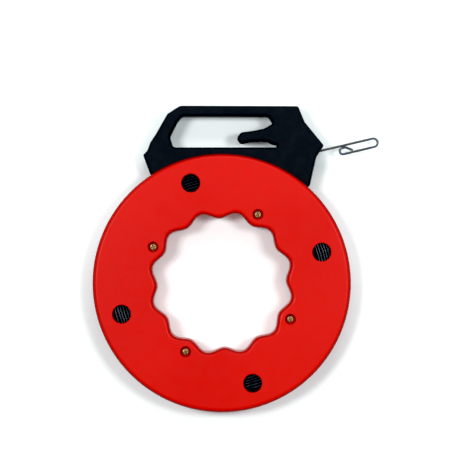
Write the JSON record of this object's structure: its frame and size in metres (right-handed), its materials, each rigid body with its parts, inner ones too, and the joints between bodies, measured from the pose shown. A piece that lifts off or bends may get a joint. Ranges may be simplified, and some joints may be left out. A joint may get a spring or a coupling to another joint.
{
  "type": "fish tape reel",
  "caption": "Ring-shaped two-piece reel case with a scalloped hand hole, turning inside a hand grip that guides a hooked steel fish tape out of the rim.",
  "frame": {"origin": "middle of the footprint on the resting plane, with the reel lying on its rear face", "axes": "+Z out of the front face along the reel's spin axis, +Y towards the hand grip, +X towards the side where the tape and its hook come out"},
  "size_m": [0.2553, 0.2732, 0.036],
  "materials": {
    "case_red": "smooth moulded ABS with a soft sheen",
    "grip_black": "fine grained moulded plastic",
    "yellow_zinc": "yellow passivated zinc plate",
    "black_zinc": "black passivated zinc plate",
    "tape_steel": "oiled blued spring steel",
    "runner_acetal": "natural acetal",
    "guide_nylon": "black nylon"
  },
  "bodies": {
    "grip": {"handle_front": "grip_black", "handle_rear": "grip_black", "handle_screw_1": "black_zinc", "handle_screw_2": "black_zinc", "handle_screw_3": "black_zinc", "handle_screw_4": "black_zinc", "handle_screw_5": "black_zinc", "runner_left": "runner_acetal", "runner_right": "runner_acetal", "tape_guide": "guide_nylon"},
    "reel": {"case_front": "case_red", "case_rear": "case_red", "case_screw_1": "yellow_zinc", "case_screw_2": "yellow_zinc", "case_screw_3": "yellow_zinc", "case_screw_4": "yellow_zinc", "tape_coil": "tape_steel", "tape_anchor_clip": "tape_steel", "tape_anchor_screw": "yellow_zinc"},
    "tape_end": {"tape_leader": "tape_steel"}
  },
  "joints": [
    {"name": "reel_spin", "type": "hinge", "parent": "grip", "child": "reel", "pos_m": [-0.01276, -0.02164, 0.018], "axis": [0, 0, -1], "range_deg": [-7, 360]},
    {"name": "tape_feed", "type": "slide", "parent": "grip", "child": "tape_end", "axis": [0.9732, 0.23, 0], "range_m": [-0.0117, 0.5946]}
  ],
  "couplings": [
    {"joint": "tape_feed", "follows": "reel_spin", "m_per_rad": 0.0946}
  ]
}
